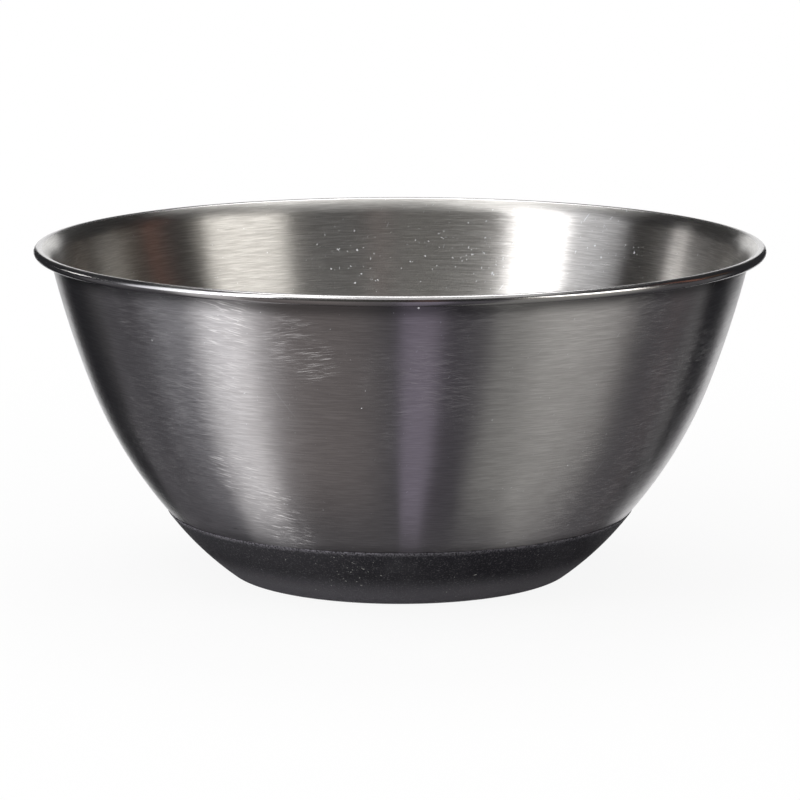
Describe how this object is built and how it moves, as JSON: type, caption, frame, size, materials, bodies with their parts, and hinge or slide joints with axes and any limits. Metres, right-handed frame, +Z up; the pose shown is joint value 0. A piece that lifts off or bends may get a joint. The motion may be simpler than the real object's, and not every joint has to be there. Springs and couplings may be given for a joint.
{
  "type": "mixing bowl",
  "caption": "Round brushed stainless steel mixing bowl with a flared, rolled rim and a bonded black silicone base that keeps it from slipping.",
  "frame": {"origin": "centre of the footprint, on the surface that the bowl stands on", "axes": "+Z up along the bowl's axis of revolution, towards the open rim; -Y faces the camera of the picture"},
  "size_m": [0.24, 0.24, 0.109],
  "materials": {
    "brushed_stainless": "brushed around the axis, polished lip",
    "adhesive": "cured silicone adhesive, not seen",
    "black_silicone": "matte, finely grained"
  },
  "bodies": {
    "root": {"bowl_shell": "brushed_stainless", "bonding_film": "adhesive", "non_slip_base": "black_silicone"}
  },
  "joints": []
}
